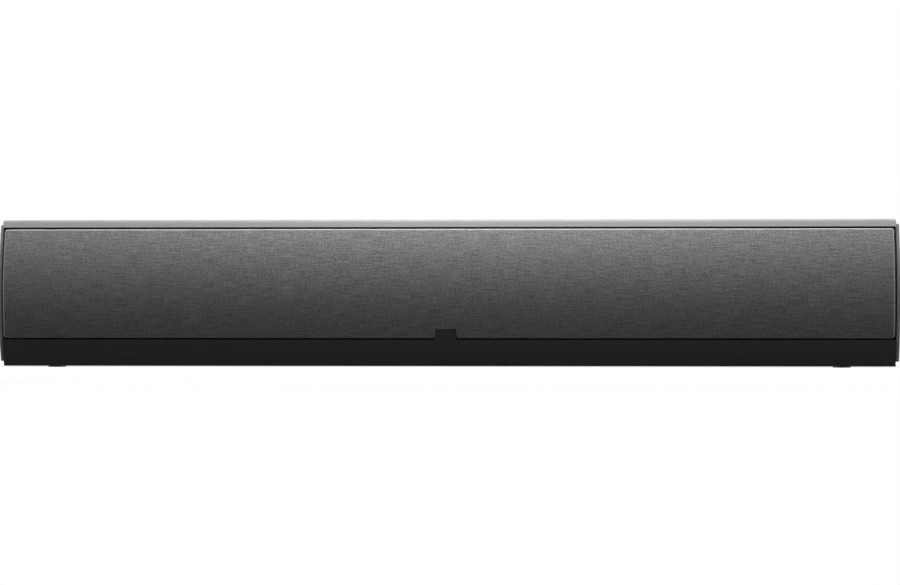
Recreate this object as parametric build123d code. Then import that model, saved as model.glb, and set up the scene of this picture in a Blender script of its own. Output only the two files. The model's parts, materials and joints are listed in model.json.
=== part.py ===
from build123d import *
import os
from math import cos, radians, sin, sqrt

# The speaker stands with its width along X, its front towards -Y and its base at Z = 0.
# Lengths are in millimetres. Heights inside a driver run along its own axis, from the
# front of the baffle towards the listener.

# Overall size
overall_width = 914.0
overall_height = 150.0
overall_depth = 130.0
front_radius = 185.0
pad_proud = 1.0

# Clearances
slide_gap = 0.2
trim_gap = 0.3
glue_gap = 0.1
screw_gap = 0.15
thread_gap = 0.05
running_gap = 0.35

# Extruded body
wall = 2.5
rear_corner_radius = 16.0
lip_height = 7.6
lip_edge_radius = 4.5
groove_depth = 5.0
lower_rib = 6.0
port_boss_radius = 4.5
port_radius = 2.0
port_inset = 11.5
port_web = 3.0
front_port_setback = 8.0
rear_port_setback = 17.0

# Ends
plate_thickness = 10.0
cap_thickness = 3.5
cap_inset = 5.0
cap_edge = 1.0
cap_screw_radius = 1.9
cap_screw_length = 20.0
cap_screw_head = 3.8
cap_screw_sink = 2.2
socket_across = 1.3
socket_depth = 1.4

# Baffle
baffle_setback = 27.0
baffle_thickness = 10.0

# Grille and the strip below it
end_reveal = 0.6
grille_bottom = 29.7
grille_top_gap = 2.0
grille_depth = 4.2
grille_corner = 4.0
grille_roll = 1.8
cloth_thickness = 0.8
frame_wall = 2.6
frame_rim = 9.0
window_count = 10
window_bar = 8.0
window_corner = 5.0
notch_width = 21.4
notch_height = 9.0
notch_flare = 2.6
notch_corner = 1.5
tab_gap = 0.5
strip_gap = 1.6
strip_wall = 2.5
strip_reveal = 0.4
strip_edge_radius = 1.0
peg_radius = 2.5
peg_end_inset = 47.3
peg_depth = 8.0
grommet_wall = 2.2
grommet_lip = 1.0
grommet_lip_wall = 1.0

# Woofers and passive radiators
woofer_x = 140.0
radiator_end_inset = 143.5
frame_radius = 58.0
frame_flat = 48.5
flange_thickness = 3.5
basket_radius = 44.4
basket_wall = 2.0
basket_depth = 28.0
basket_back = 3.0
basket_back_radius = 38.0
basket_hole = 17.0
spider_height = -17.0
spider_ledge = 30.0
ledge_thickness = 2.0
window_slots = 6
slot_width = 25.0
slot_low = -14.0
slot_high = -4.0
cone_radius = 37.0
cone_rim = 4.0
cone_neck_height = -12.0
cone_bow = 60.0
paper = 0.8
roll_radius = 4.5
rubber = 0.8
land_width = 3.0
dust_cap_radius = 16.0
dust_cap_rise = 5.0
former_radius = 12.4
former_wall = 0.4
former_length = 28.0
winding = 0.6
winding_length = 10.0
magnetic_gap = 0.5
top_plate_thickness = 5.0
top_plate_radius = 31.0
magnet_radius = 33.0
magnet_bore = 18.0
magnet_thickness = 14.0
yoke_thickness = 5.0
vent_radius = 4.0
spider_rolls = 4
spider_cloth = 0.5
radiator_cup = 10.0
radiator_dish = 3.0
radiator_mass_radius = 14.0
radiator_mass_depth = 10.0
driver_screw_circle = 52.0
driver_screw_radius = 1.6
driver_screw_length = 11.0
driver_screw_head = 3.1
driver_screw_head_height = 1.8

# Tweeter
tweeter_plate = 78.0
tweeter_plate_corner = 10.0
tweeter_plate_thickness = 4.0
tweeter_mouth = 26.0
tweeter_throat = 17.0
tweeter_seat = 1.0
dome_radius = 13.0
dome_rise = 5.0
dome_wall = 0.3
tweeter_roll = 1.6
tweeter_land = 2.2
tweeter_coil_wall = 0.4
tweeter_coil_length = 5.0
tweeter_gap = 0.4
tweeter_top_plate = 3.0
tweeter_motor_radius = 26.0
tweeter_magnet_bore = 16.0
tweeter_magnet_thickness = 10.0
tweeter_yoke_thickness = 4.0
tweeter_screw_inset = 8.0

# Terminal cup and binding posts
cup_width = 88.0
cup_height = 64.0
cup_corner = 8.0
cup_flange = 2.0
cup_rim = 7.0
cup_wall = 2.5
cup_depth = 26.0
cup_z = 62.0
cup_screw_inset = 4.2
cup_screw_radius = 1.4
cup_screw_length = 9.0
cup_screw_head = 2.4
cup_screw_sink = 1.2
post_spacing = 19.05
post_radius = 3.0
post_bore = 2.05
post_bore_depth = 17.0
post_length = 20.5
post_tail = 9.0
post_collar = 6.0
post_collar_height = 3.0
washer_radius = 5.6
washer_thickness = 1.0
knob_radius = 7.0
knob_length = 13.0
knob_flutes = 12
knob_flute_radius = 0.9
nut_across = 5.5
nut_thickness = 3.0

# Fixings to the wall and the shelf
insert_spacing = 600.0
insert_z = 96.0
insert_flange = 6.5
insert_flange_height = 1.0
insert_barrel = 4.5
insert_length = 14.0
insert_bore = 2.5
pad_radius = 9.0
pad_end_inset = 53.5
pad_front_setback = 26.0
pad_rear_setback = 26.0

# Crossover
board_x = -242.0
board_width = 38.0
board_thickness = 1.6
board_margin = 3.0
component_gap = 4.0
standoff_height = 6.0
standoff_radius = 3.0
standoff_inset = 5.0
inductor_bore = 6.0
inductor_radius = 13.0
inductor_height = 14.0
capacitor_radius = 6.0
capacitor_length = 28.0
capacitor_pitch = 14.0
resistor_length = 20.0
resistor_width = 8.0

# Wiring and damping
lead_radius = 1.1
lead_bend = 8.0
lead_pitch = 6.0
lane_pitch = 3.5
input_lane = -4
tweeter_lane = 0
left_woofer_lane = 2
right_woofer_lane = 3
input_run = 40.0
tweeter_run = 36.0
woofer_run = 30.0
tweeter_drop = 10.0
blanket_start = 85.0
blanket_end_gap = 28.5
blanket_thickness = 18.0
blanket_margin = 17.0
blanket_gap = 1.0

# Places that follow from the sizes above
body_end = overall_width / 2 - cap_thickness
base_z = pad_proud
top_z = overall_height
mid_z = (base_z + top_z) / 2
front_y = -overall_depth / 2
back_y = overall_depth / 2 - cup_flange
arc_centre_y = front_y + front_radius
floor_z = base_z + wall
ceiling_z = top_z - wall
baffle_front = front_y + baffle_setback
baffle_back = baffle_front + baffle_thickness
groove_front = baffle_front - slide_gap
groove_back = baffle_back + slide_gap
front_port_y = groove_back + wall + front_port_setback
rear_port_y = back_y - rear_port_setback
trim_end = body_end - end_reveal
baffle_end = body_end - plate_thickness
radiator_x = body_end - radiator_end_inset
grille_top = top_z - lip_height - grille_top_gap
driver_z = (grille_bottom + grille_top) / 2
strip_top = grille_bottom - strip_gap
top_plate_front = -basket_depth - basket_back
magnet_front = top_plate_front - top_plate_thickness
yoke_front = magnet_front - magnet_thickness
coil_outer = former_radius + former_wall + winding
cup_mouth = back_y + cup_flange
cup_floor = cup_mouth - cup_depth
board_y = (front_port_y + rear_port_y) / 2
board_top = floor_z + standoff_height + board_thickness

GROUND = (Align.CENTER, Align.CENTER, Align.MIN)
parts = {}


# Helpers for sections, turned pieces and placing

def block(low_a, high_a, low_b, high_b):
    """Rectangle by its edges."""
    return Pos((low_a + high_a) / 2, (low_b + high_b) / 2) * Rectangle(high_a - low_a, high_b - low_b)


def bow(radius):
    """Disc, in Y and Z, whose edge is the bowed front at that radius."""
    return Pos(arc_centre_y, mid_z) * Circle(radius)


def along_x(section, start, end):
    """Section in Y and Z, run from start to end along the width."""
    return extrude(Plane.YZ.offset(start) * section, end - start)


def from_front(sketch):
    """Sketch in X and Z, run through the whole depth."""
    return extrude(Plane.XZ * sketch, overall_depth, both=True)


def turned(sketch):
    """Sketch of radius and height, turned about the driver's axis."""
    return revolve(Plane.XZ * sketch, Axis.Z)


def ring(inner, outer, low, high):
    """Flat ring, or a disc where inner is 0, between two heights."""
    return turned(block(inner, outer, low, high))


def half_roll(centre, height, radius, thickness, side):
    """Half of a rolled edge in section, arched to the front (side 1) or the back (-1)."""
    roll = Circle(radius) - Circle(radius - thickness)
    keep = block(-radius, radius, min(0, side * radius), max(0, side * radius))
    return Pos(centre, height) * (roll & keep)


def on_baffle(x):
    """Place of a driver: its axis points out of the baffle's front."""
    return Pos(x, baffle_front, driver_z) * Rot(90, 0, 0)


def on_back(x, y, z):
    """Place whose own height runs out of the back."""
    return Pos(x, y, z) * Rot(-90, 0, 0)


def on_end(y, z):
    """Place on the right end cap, its height running out of the end."""
    return Pos(overall_width / 2, y, z) * Rot(0, 90, 0)


def mirrored(piece):
    """The same piece on the other end of the speaker."""
    return mirror(piece, Plane.YZ)


def countersunk(head, shank, sink, length):
    """Countersunk screw with a hexagon socket, its head's face at height 0."""
    outline = Polyline((0, 0), (head, 0), (shank, -sink), (shank, -length), (0, -length), close=True)
    socket = extrude(RegularPolygon(socket_across, 6), -socket_depth)
    return turned(make_face(outline)) - socket


# Extruded body

def inner_ribs(grow):
    """Rear groove ribs and screw ports of the body in section, made larger all round by grow."""
    ribs = Sketch()
    for edge, inward in ((floor_z, 1), (ceiling_z, -1)):
        tip = edge + inward * (groove_depth + grow)
        ribs += block(groove_back - grow, groove_back + wall + grow, min(edge, tip), max(edge, tip))
    for y in (front_port_y, rear_port_y):
        for edge, inward in ((base_z, 1), (top_z, -1)):
            centre = edge + inward * port_inset
            root = edge + inward * wall / 2
            half = port_web / 2 + grow
            ribs += Pos(y, centre) * Circle(port_boss_radius + grow)
            ribs += block(y - half, y + half, min(root, centre), max(root, centre))
    return ribs


def port_places():
    """Centres of the four screw ports in the body's section."""
    return [(y, z) for y in (front_port_y, rear_port_y) for z in (base_z + port_inset, top_z - port_inset)]


outline = block(front_y, back_y, base_z, top_z) & bow(front_radius)
outline = fillet(outline.vertices().group_by(Axis.X)[-1], rear_corner_radius)
outline = fillet(outline.vertices().sort_by(Axis.X)[:2].sort_by(Axis.Y)[-1], lip_edge_radius)

cavity = block(front_y, back_y - wall, floor_z, ceiling_z)
cavity = fillet(cavity.vertices().group_by(Axis.X)[-1], rear_corner_radius - wall)

body_section = outline - cavity
strip_room = bow(front_radius) - bow(front_radius - strip_wall - trim_gap)
body_section -= strip_room & block(front_y, 0, base_z, floor_z)
body_section += outline & block(front_y, groove_front, top_z - lip_height, top_z)
body_section += block(groove_front - lower_rib, groove_front, base_z + wall / 2, floor_z + groove_depth)
body_section += inner_ribs(0)
for y, z in port_places():
    body_section -= Pos(y, z) * Circle(port_radius)

cup_tub_width = cup_width - 2 * cup_rim
cup_tub_height = cup_height - 2 * cup_rim
cup_opening = RectangleRounded(cup_tub_width + 2 * trim_gap, cup_tub_height + 2 * trim_gap, cup_corner)
cup_screws_x = cup_width / 2 - cup_screw_inset
cup_screws_z = cup_height / 2 - cup_screw_inset
cup_screw_places = [(x, z) for x in (-cup_screws_x, cup_screws_x) for z in (-cup_screws_z, cup_screws_z)]
insert_places = (-insert_spacing / 2, insert_spacing / 2)

body = along_x(body_section, -body_end, body_end)
body -= on_back(0, back_y, cup_z) * extrude(cup_opening, wall, both=True)
for x, z in cup_screw_places:
    body -= on_back(x, back_y, cup_z + z) * extrude(Circle(cup_screw_radius + thread_gap), wall, both=True)
for x in insert_places:
    body -= on_back(x, back_y, insert_z) * extrude(Circle(insert_barrel + screw_gap), wall, both=True)
parts["cabinet_extrusion"] = body


# End plates, end caps and their screws

plate_section = block(baffle_front, back_y - wall - slide_gap, floor_z + slide_gap, ceiling_z - slide_gap)
plate_section = fillet(plate_section.vertices().group_by(Axis.X)[-1], rear_corner_radius - wall)
plate_section -= inner_ribs(slide_gap)
end_plate = along_x(plate_section, body_end - plate_thickness, body_end)

end_cap = along_x(offset(outline, -cap_inset), body_end, body_end + cap_thickness)
end_cap = fillet(end_cap.faces().sort_by(Axis.X)[-1].outer_wire().edges(), cap_edge)
cap_screw = countersunk(cap_screw_head, cap_screw_radius, cap_screw_sink, cap_screw_length)
sunk_hole = Polyline(
    (0, 0),
    (cap_screw_head + screw_gap, 0),
    (cap_screw_radius + screw_gap, -cap_screw_sink),
    (cap_screw_radius + screw_gap, -cap_thickness),
    (0, -cap_thickness),
    close=True,
)
cap_screws = []
for y, z in port_places():
    end_cap -= on_end(y, z) * turned(make_face(sunk_hole))
    cap_screws.append(on_end(y, z) * cap_screw)

parts["right_end_plate"] = end_plate
parts["left_end_plate"] = mirrored(end_plate)
parts["right_end_cap"] = end_cap
parts["left_end_cap"] = mirrored(end_cap)
parts["end_cap_screws"] = Compound(cap_screws + [mirrored(screw) for screw in cap_screws])


# Baffle with its driver openings, and the sockets for the grille's pegs

def screw_ring(radius):
    """Four screw places on the diagonals of a driver."""
    return [(radius * cos(radians(a)), radius * sin(radians(a))) for a in (45, 135, 225, 315)]


tweeter_screw_reach = (tweeter_plate / 2 - tweeter_screw_inset) * sqrt(2)
driver_screw_places = [
    (x, driver_screw_circle, flange_thickness) for x in (-radiator_x, -woofer_x, woofer_x, radiator_x)
]
driver_screw_places.append((0, tweeter_screw_reach, tweeter_plate_thickness))
peg_low = grille_bottom + frame_rim / 2
peg_high = grille_top - frame_rim / 2
peg_columns = (
    (tweeter_plate / 2 + woofer_x - frame_radius) / 2,
    (woofer_x + radiator_x) / 2,
    trim_end - peg_end_inset,
)
peg_places = [(side * x, z) for x in peg_columns for side in (-1, 1) for z in (peg_low, peg_high)]
grommet_radius = peg_radius + thread_gap + grommet_wall

baffle = along_x(
    block(baffle_front, baffle_back, floor_z + slide_gap, ceiling_z - slide_gap), -baffle_end, baffle_end
)
for x in (-radiator_x, -woofer_x, woofer_x, radiator_x):
    baffle -= on_baffle(x) * ring(0, basket_radius + trim_gap, -baffle_thickness, 0)
baffle -= on_baffle(0) * ring(0, tweeter_motor_radius + trim_gap, -baffle_thickness, 0)
pilot = ring(0, driver_screw_radius + thread_gap, -baffle_thickness, 0)
driver_screw = ring(0, driver_screw_head, 0, driver_screw_head_height)
driver_screw += ring(0, driver_screw_radius, -driver_screw_length, 0)
driver_screws = []
for x, reach, seat in driver_screw_places:
    for across, up in screw_ring(reach):
        baffle -= on_baffle(x) * Pos(across, up, 0) * pilot
        driver_screws.append(on_baffle(x) * Pos(across, up, seat) * driver_screw)

grommet = ring(peg_radius + thread_gap, grommet_radius, -baffle_thickness, 0)
grommet += ring(peg_radius + thread_gap, grommet_radius + grommet_lip_wall, 0, grommet_lip)
grommets = []
for x, z in peg_places:
    place = Pos(x, baffle_front, z) * Rot(90, 0, 0)
    baffle -= place * ring(0, grommet_radius + thread_gap, -baffle_thickness, 0)
    grommets.append(place * grommet)

parts["front_baffle"] = baffle
parts["driver_screws"] = Compound(driver_screws)
parts["grille_sockets"] = Compound(grommets)


# Grille: a bowed frame with windows and pegs, and the cloth stretched over it

grille_height = grille_top - grille_bottom
grille_length = 2 * trim_end


def notch(width, height, flare, corner):
    """Notch in the grille's lower edge, seen from the front, flared out at its mouth."""
    shape = block(-width / 2, width / 2, grille_bottom, grille_bottom + height)
    shape = fillet(shape.vertices().group_by(Axis.Y)[-1], corner)
    for side in (-1, 1):
        edge = side * width / 2
        wedge = block(min(edge, edge + side * flare), max(edge, edge + side * flare),
                      grille_bottom, grille_bottom + flare)
        shape += wedge - Pos(edge + side * flare, grille_bottom + flare) * Circle(flare)
    return shape


def grille_outline(inset):
    """Outline of the grille from the front, drawn in by inset all round."""
    full = RectangleRounded(grille_length - 2 * inset, grille_height - 2 * inset, grille_corner - inset)
    opening = notch(notch_width + 2 * inset, notch_height + inset, notch_flare, notch_corner)
    opening += block(-notch_width / 2 - inset - notch_flare, notch_width / 2 + inset + notch_flare,
                     grille_bottom - inset, grille_bottom)
    return Pos(0, driver_z) * full - Pos(0, inset) * opening


def bowed_shell(outer, inner):
    """Shell between two bowed surfaces, as long as the grille."""
    section = (bow(outer) - bow(inner)) & block(front_y, 0, base_z, top_z)
    return along_x(section, -trim_end, trim_end)


cloth_inset = cloth_thickness + glue_gap
cloth = bowed_shell(front_radius, front_radius - grille_depth) & from_front(grille_outline(0))
rim_edges = cloth.faces().sort_by(Axis.Y)[0].outer_wire().edges()
cloth = fillet(rim_edges, grille_roll)
cloth -= bowed_shell(front_radius - cloth_thickness, front_radius - 2 * grille_depth) & from_front(
    grille_outline(cloth_thickness)
)

frame_outer = front_radius - cloth_inset
frame = bowed_shell(frame_outer, frame_outer - frame_wall) & from_front(grille_outline(cloth_inset))
frame_edges = frame.faces().sort_by(Axis.Y)[0].outer_wire().edges()
frame = fillet(frame_edges, grille_roll - cloth_inset)
window_pitch = (grille_length - 2 * frame_rim + window_bar) / window_count
window_height = grille_height - 2 * frame_rim - notch_height
window = RectangleRounded(window_pitch - window_bar, window_height, window_corner)
windows = Sketch()
for i in range(window_count):
    windows += Pos((i - (window_count - 1) / 2) * window_pitch, driver_z + notch_height / 2) * window
frame -= from_front(windows)
for x, z in peg_places:
    root = arc_centre_y - sqrt(frame_outer**2 - (z - mid_z) ** 2) + frame_wall / 2
    reach = baffle_front + peg_depth - root
    frame += on_back(x, root, z) * Cylinder(peg_radius, reach, align=GROUND)

parts["grille_cloth"] = cloth
parts["grille_frame"] = frame


# Strip below the grille, with the tab that fills the grille's notch

strip_low = floor_z + trim_gap
strip_bottom = base_z + strip_reveal
strip_section = bow(front_radius) & block(front_y, 0, strip_bottom, strip_top)
strip_section = fillet(strip_section.vertices().group_by(Axis.Y)[0].sort_by(Axis.X)[0], strip_edge_radius)
strip_section -= bow(front_radius - strip_wall)
strip_section += bow(front_radius) & block(front_y, baffle_front, strip_top - strip_wall, strip_top)
strip_section += bow(front_radius) & block(
    front_y, groove_front - lower_rib - trim_gap, strip_low, strip_low + strip_wall
)
strip = along_x(strip_section, -trim_end, trim_end)
tab = Pos(0, -strip_gap) * notch(
    notch_width - 2 * tab_gap, notch_height + strip_gap - tab_gap, notch_flare, notch_corner
)
strip += bowed_shell(front_radius, front_radius - grille_depth) & from_front(tab)
parts["lower_fascia"] = strip


# Woofers

def truncated_flange(thickness):
    """Driver flange with its top and bottom cut flat."""
    disc = Circle(frame_radius) & Rectangle(2 * frame_radius, 2 * frame_flat)
    flange = extrude(disc, thickness)
    for across, up in screw_ring(driver_screw_circle):
        flange -= Pos(across, up, 0) * ring(0, driver_screw_radius + screw_gap, 0, thickness)
    return flange


def surround():
    """Rubber half-roll between the flange and the edge of the cone."""
    centre = cone_radius + roll_radius - rubber
    section = half_roll(centre, flange_thickness, roll_radius, rubber, 1)
    inner = centre - roll_radius
    outer = centre + roll_radius
    section += block(inner - land_width, inner + rubber, flange_thickness, flange_thickness + rubber)
    section += block(outer - rubber, outer + land_width, flange_thickness, flange_thickness + rubber)
    return turned(section)


def basket():
    """Cast basket: flange, tapered wall with windows, ledge for the spider and back plate."""
    taper = (basket_radius - basket_back_radius) / (basket_depth + basket_back)
    inner = basket_radius - basket_wall
    ledge_low = spider_height - ledge_thickness
    shell = Polyline(
        (inner, 0),
        (inner, flange_thickness),
        (basket_radius, flange_thickness),
        (basket_radius, 0),
        (basket_back_radius, top_plate_front),
        (basket_hole, top_plate_front),
        (basket_hole, -basket_depth),
        (inner - taper * basket_depth, -basket_depth),
        (inner + taper * ledge_low, ledge_low),
        (spider_ledge, ledge_low),
        (spider_ledge, spider_height),
        (inner + taper * spider_height, spider_height),
        close=True,
    )
    body = turned(make_face(shell))
    slot = Box(frame_radius, slot_width, slot_high - slot_low)
    slot = Pos(basket_radius, 0, (slot_low + slot_high) / 2) * slot
    for i in range(window_slots):
        body -= Rot(0, 0, (i + 0.5) * 360 / window_slots) * slot
    return body + (truncated_flange(flange_thickness) - ring(0, inner, 0, flange_thickness))


def cone():
    """Curved paper cone with a flat rim for the surround and a neck on the voice coil."""
    neck = former_radius + former_wall + glue_gap
    rim = cone_radius - cone_rim
    rim_top = flange_thickness - glue_gap
    front = RadiusArc((neck, cone_neck_height), (rim, rim_top), cone_bow)
    edge = Polyline(
        (rim, rim_top), (cone_radius, rim_top), (cone_radius, rim_top - paper), (rim + paper, rim_top - paper)
    )
    back = RadiusArc((rim + paper, rim_top - paper), (neck, cone_neck_height - paper), -cone_bow)
    closing = Line((neck, cone_neck_height - paper), (neck, cone_neck_height))
    return turned(make_face(front + edge + back + closing))


def cone_height(radius):
    """Height of the cone's curved face at a radius."""
    neck = former_radius + former_wall + glue_gap
    run = cone_radius - cone_rim - neck
    rise = flange_thickness - glue_gap - cone_neck_height
    chord = sqrt(run**2 + rise**2)
    reach = sqrt(cone_bow**2 - chord**2 / 4) / chord
    centre_r = neck + run / 2 + reach * rise
    centre_h = cone_neck_height + rise / 2 - reach * run
    return centre_h + sqrt(cone_bow**2 - (radius - centre_r) ** 2)


def dust_cap():
    """Domed cap over the voice coil, bonded to the cone's face."""
    foot = cone_height(dust_cap_radius) + glue_gap
    inner = dust_cap_radius - paper
    top = foot + dust_cap_rise
    inner_rise = dust_cap_rise - paper
    outer_radius = (dust_cap_radius**2 / dust_cap_rise + dust_cap_rise) / 2
    inner_radius = (inner**2 / inner_rise + inner_rise) / 2
    dome = RadiusArc((0, top), (dust_cap_radius, foot), outer_radius)
    lower = RadiusArc((inner, foot), (0, top - paper), -inner_radius)
    sides = Line((dust_cap_radius, foot), (inner, foot)) + Line((0, top - paper), (0, top))
    return turned(make_face(dome + lower + sides))


def voice_coil():
    """Former with its winding, centred on the top plate."""
    centre = top_plate_front - top_plate_thickness / 2
    former_top = cone_neck_height
    coil = ring(former_radius, former_radius + former_wall, former_top - former_length, former_top)
    return coil + ring(former_radius, coil_outer, centre - winding_length / 2, centre + winding_length / 2)


def spider():
    """Corrugated centring disc between the coil former and the basket's ledge."""
    inner = former_radius + former_wall + glue_gap
    span = spider_ledge - inner - paper
    radius = (span + (spider_rolls - 1) * spider_cloth) / (2 * spider_rolls)
    spider_top = spider_height + spider_cloth
    section = block(inner, inner + paper + spider_cloth, spider_height, spider_top)
    for i in range(spider_rolls):
        centre = inner + paper + radius + i * (2 * radius - spider_cloth)
        section += half_roll(centre, spider_height, radius, spider_cloth, 1 if i % 2 == 0 else -1)
    section += block(spider_ledge - spider_cloth, spider_ledge + land_width, spider_height, spider_top)
    return turned(section)


def yoke():
    """Back plate and vented pole in one piece."""
    pole = former_radius - magnetic_gap
    piece = ring(vent_radius, top_plate_radius, yoke_front - yoke_thickness, yoke_front)
    return piece + ring(vent_radius, pole, yoke_front, top_plate_front)


woofer_pieces = {
    "woofer_basket": basket(),
    "woofer_cone": cone(),
    "woofer_surround": surround(),
    "woofer_dust_cap": dust_cap(),
    "woofer_spider": spider(),
    "woofer_voice_coil": voice_coil(),
    "woofer_top_plate": ring(coil_outer + magnetic_gap, top_plate_radius, magnet_front, top_plate_front),
    "woofer_magnet": ring(magnet_bore, magnet_radius, yoke_front, magnet_front),
    "woofer_yoke": yoke(),
}


# Passive radiators

def radiator_frame():
    """Flange with a short sleeve through the baffle."""
    inner = basket_radius - basket_wall
    sleeve = ring(inner, basket_radius, -radiator_cup, flange_thickness)
    return sleeve + (truncated_flange(flange_thickness) - ring(0, inner, 0, flange_thickness))


def radiator_diaphragm():
    """Dished disc with a tuning mass moulded on its back."""
    rim_top = flange_thickness - glue_gap
    rim = cone_radius - cone_rim
    dish = Polyline(
        (0, rim_top - radiator_dish),
        (rim - radiator_dish, rim_top - radiator_dish),
        (rim, rim_top),
        (cone_radius, rim_top),
        (cone_radius, rim_top - 2 * paper),
        (rim, rim_top - 2 * paper),
        (rim - radiator_dish, rim_top - radiator_dish - 2 * paper),
        (radiator_mass_radius, rim_top - radiator_dish - 2 * paper),
        (radiator_mass_radius, rim_top - radiator_dish - radiator_mass_depth),
        (0, rim_top - radiator_dish - radiator_mass_depth),
        close=True,
    )
    return turned(make_face(dish))


radiator_pieces = {
    "radiator_frame": radiator_frame(),
    "radiator_diaphragm": radiator_diaphragm(),
    "radiator_surround": surround(),
}

for side, sign in (("left", -1), ("right", 1)):
    for name, piece in woofer_pieces.items():
        parts[side + "_" + name] = on_baffle(sign * woofer_x) * piece
    for name, piece in radiator_pieces.items():
        parts[side + "_" + name] = on_baffle(sign * radiator_x) * piece


# Tweeter

def tweeter_faceplate():
    """Square plate with a flared mouth and a seat behind it for the dome's edge."""
    square = RectangleRounded(tweeter_plate, tweeter_plate, tweeter_plate_corner)
    plate = extrude(square, tweeter_plate_thickness)
    mouth = Polyline(
        (0, tweeter_seat),
        (tweeter_throat, tweeter_seat),
        (tweeter_mouth, tweeter_plate_thickness),
        (0, tweeter_plate_thickness),
        close=True,
    )
    plate -= turned(make_face(mouth))
    plate -= ring(0, dome_radius + 2 * tweeter_roll + tweeter_land + screw_gap, 0, tweeter_seat)
    for across, up in screw_ring(tweeter_screw_reach):
        hole = ring(0, driver_screw_radius + screw_gap, 0, tweeter_plate_thickness)
        plate -= Pos(across, up, 0) * hole
    return plate


def tweeter_dome():
    """Thin soft dome on its coil."""
    radius = (dome_radius**2 / dome_rise + dome_rise) / 2
    inner_rise = dome_rise - dome_wall
    inner_foot = dome_radius - dome_wall
    inner_radius = (inner_foot**2 / inner_rise + inner_rise) / 2
    outer = RadiusArc((0, tweeter_seat + dome_rise), (dome_radius, tweeter_seat), radius)
    inner = RadiusArc((inner_foot, tweeter_seat), (0, tweeter_seat + inner_rise), -inner_radius)
    sides = Line((dome_radius, tweeter_seat), (inner_foot, tweeter_seat))
    sides += Line((0, tweeter_seat + inner_rise), (0, tweeter_seat + dome_rise))
    return turned(make_face(outer + inner + sides))


def tweeter_surround():
    """Small roll from the dome's edge to a land clamped under the faceplate."""
    start = dome_radius + glue_gap
    section = half_roll(start + tweeter_roll, glue_gap, tweeter_roll, dome_wall, 1)
    land_start = start + 2 * tweeter_roll - dome_wall
    section += block(land_start, land_start + tweeter_land, glue_gap, glue_gap + dome_wall)
    return turned(section)


tweeter_coil_outer = dome_radius - glue_gap
tweeter_coil_inner = tweeter_coil_outer - tweeter_coil_wall
tweeter_coil_top = tweeter_seat - glue_gap
tweeter_magnet_front = -tweeter_top_plate
tweeter_yoke_front = tweeter_magnet_front - tweeter_magnet_thickness
tweeter_yoke = ring(0, tweeter_motor_radius, tweeter_yoke_front - tweeter_yoke_thickness, tweeter_yoke_front)
tweeter_yoke += ring(0, tweeter_coil_inner - tweeter_gap, tweeter_yoke_front, 0)
tweeter_pieces = {
    "tweeter_faceplate": tweeter_faceplate(),
    "tweeter_dome": tweeter_dome(),
    "tweeter_surround": tweeter_surround(),
    "tweeter_coil": ring(
        tweeter_coil_inner, tweeter_coil_outer, tweeter_coil_top - tweeter_coil_length, tweeter_coil_top
    ),
    "tweeter_top_plate": ring(
        tweeter_coil_outer + tweeter_gap, tweeter_motor_radius, tweeter_magnet_front, 0
    ),
    "tweeter_magnet": ring(
        tweeter_magnet_bore, tweeter_motor_radius, tweeter_yoke_front, tweeter_magnet_front
    ),
    "tweeter_yoke": tweeter_yoke,
}
for name, piece in tweeter_pieces.items():
    parts[name] = on_baffle(0) * piece


# Terminal cup in the back, with its screws and binding posts

cup = extrude(RectangleRounded(cup_width, cup_height, cup_corner), cup_flange)
tub_outside = RectangleRounded(cup_tub_width, cup_tub_height, cup_corner)
tub_inside = offset(tub_outside, -cup_wall)
cup += extrude(tub_outside, cup_flange - cup_depth - cup_wall)
cup -= Pos(0, 0, cup_flange - cup_depth) * extrude(tub_inside, cup_depth)
cup_screw = countersunk(cup_screw_head, cup_screw_radius, cup_screw_sink, cup_screw_length)
cup_sunk = Polyline(
    (0, 0),
    (cup_screw_head + screw_gap, 0),
    (cup_screw_radius + screw_gap, -cup_screw_sink),
    (cup_screw_radius + screw_gap, -cup_flange),
    (0, -cup_flange),
    close=True,
)
cup_place = on_back(0, back_y, cup_z)
cup_screws = []
for x, z in cup_screw_places:
    cup -= Pos(x, z, cup_flange) * turned(make_face(cup_sunk))
    cup_screws.append(cup_place * Pos(x, z, cup_flange) * cup_screw)

post = ring(0, post_collar, 0, post_collar_height)
post += ring(0, post_radius, -cup_wall - post_tail, post_length)
post -= ring(0, post_bore, post_length - post_bore_depth, post_length)
washer_low = post_collar_height
knob_low = washer_low + washer_thickness
washer = ring(post_radius + running_gap, washer_radius, washer_low, knob_low)
knob = ring(post_radius + running_gap, knob_radius, knob_low, knob_low + knob_length)
knob = chamfer(knob.edges().filter_by(GeomType.CIRCLE).sort_by(SortBy.RADIUS)[-2:], knob_flute_radius)
for i in range(knob_flutes):
    angle = radians(i * 360 / knob_flutes)
    flute = Cylinder(knob_flute_radius, 2 * knob_length + knob_low)
    knob -= Pos(knob_radius * cos(angle), knob_radius * sin(angle), knob_low + knob_length) * flute
nut = extrude(RegularPolygon(nut_across, 6), -nut_thickness)
nut -= ring(0, post_radius + thread_gap, -nut_thickness, 0)
nuts = []
for colour, sign in (("red", -1), ("black", 1)):
    place = on_back(sign * post_spacing / 2, cup_floor, cup_z)
    cup -= on_back(0, back_y, cup_z).inverse() * place * ring(0, post_radius + thread_gap, -cup_wall, 0)
    parts[colour + "_post"] = place * post
    parts[colour + "_washer"] = place * washer
    parts[colour + "_knob"] = place * knob
    nuts.append(place * Pos(0, 0, -cup_wall) * nut)
parts["terminal_cup"] = cup_place * cup
parts["terminal_screws"] = Compound(cup_screws)
parts["post_nuts"] = Compound(nuts)


# Threaded inserts in the back and pads under the base

insert = ring(0, insert_flange, 0, insert_flange_height) + ring(0, insert_barrel, -insert_length, 0)
insert -= ring(0, insert_bore, -insert_length, insert_flange_height)
parts["wall_mount_inserts"] = Compound([on_back(x, back_y, insert_z) * insert for x in insert_places])

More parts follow.
